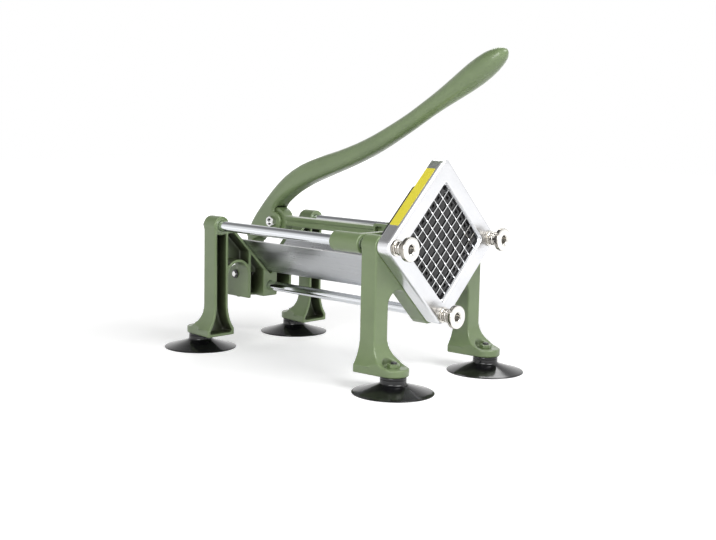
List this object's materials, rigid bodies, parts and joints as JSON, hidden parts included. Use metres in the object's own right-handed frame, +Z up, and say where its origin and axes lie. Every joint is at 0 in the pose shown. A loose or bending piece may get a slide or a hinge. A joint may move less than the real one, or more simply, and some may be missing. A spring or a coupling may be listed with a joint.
{
  "type": "french fry cutter",
  "caption": "Hand-lever potato chipper on suction feet: a cast lever drives a pinned pusher along a V trough into a square diamond-set blade grid.",
  "frame": {"origin": "middle of the bounding box on the worktop plane, under the cage", "axes": "+X toward the blade end along the rods, +Y to the left seen from behind, +Z up"},
  "size_m": [0.3653, 0.2052, 0.3003],
  "materials": {
    "green_paint": "glossy olive green enamel over cast aluminium",
    "rod_chrome": "polished chrome",
    "fastener_steel": "bright zinc",
    "trough_steel": "brushed stainless sheet",
    "frame_aluminium": "satin cast aluminium",
    "blade_steel": "ground stainless strip",
    "black_rubber": "glossy black rubber",
    "black_plastic": "satin black moulding",
    "knob_metal": "bright satin plating"
  },
  "bodies": {
    "cage": {"front_casting": "green_paint", "rear_casting": "green_paint", "side_rod_left": "rod_chrome", "side_rod_right": "rod_chrome", "lower_rod": "rod_chrome", "rod_nuts": "fastener_steel", "v_trough": "trough_steel", "blade_frame_front": "frame_aluminium", "blade_frame_back": "frame_aluminium", "blades_front": "blade_steel", "blades_back": "blade_steel", "suction_cup_front_left": "black_rubber", "suction_cup_front_right": "black_rubber", "suction_cup_rear_left": "black_rubber", "suction_cup_rear_right": "black_rubber", "cup_studs": "fastener_steel", "cup_nuts": "fastener_steel", "pivot_pin": "fastener_steel", "pivot_clip": "fastener_steel"},
    "lever": {"lever": "green_paint", "link_bolt": "fastener_steel", "link_nut": "fastener_steel"},
    "link": {"link": "green_paint", "link_pin": "fastener_steel"},
    "carriage": {"carriage": "green_paint", "pusher_block": "black_plastic", "pusher_screws": "fastener_steel"},
    "knob_left": {"knob_left": "knob_metal"},
    "knob_right": {"knob_right": "knob_metal"},
    "knob_bottom": {"knob_bottom": "knob_metal"}
  },
  "joints": [
    {"name": "lever_hinge", "type": "hinge", "parent": "cage", "child": "lever", "pos_m": [-0.13348, 0, 0.074], "axis": [0, -1, 0], "range_deg": [0, 72]},
    {"name": "link_hinge", "type": "hinge", "parent": "lever", "child": "link", "pos_m": [-0.09897, 0, 0.1304], "axis": [0, -1, 0], "range_deg": [-69.8, 0]},
    {"name": "carriage_slide", "type": "slide", "parent": "cage", "child": "carriage", "axis": [-1, 0, 0], "range_m": [0, 0.0774]},
    {"name": "knob_left_turn", "type": "hinge", "parent": "cage", "child": "knob_left", "pos_m": [0.12052, 0.066, 0.1276], "axis": [1, 0, 0], "continuous": true},
    {"name": "knob_right_turn", "type": "hinge", "parent": "cage", "child": "knob_right", "pos_m": [0.12052, -0.066, 0.1276], "axis": [1, 0, 0], "continuous": true},
    {"name": "knob_bottom_turn", "type": "hinge", "parent": "cage", "child": "knob_bottom", "pos_m": [0.12052, 0, 0.0616], "axis": [1, 0, 0], "continuous": true}
  ],
  "couplings": [
    {"joint": "link_hinge", "follows": "lever_hinge", "ratio": -0.96703},
    {"joint": "carriage_slide", "follows": "lever_hinge", "m_per_rad": 0.061431}
  ]
}
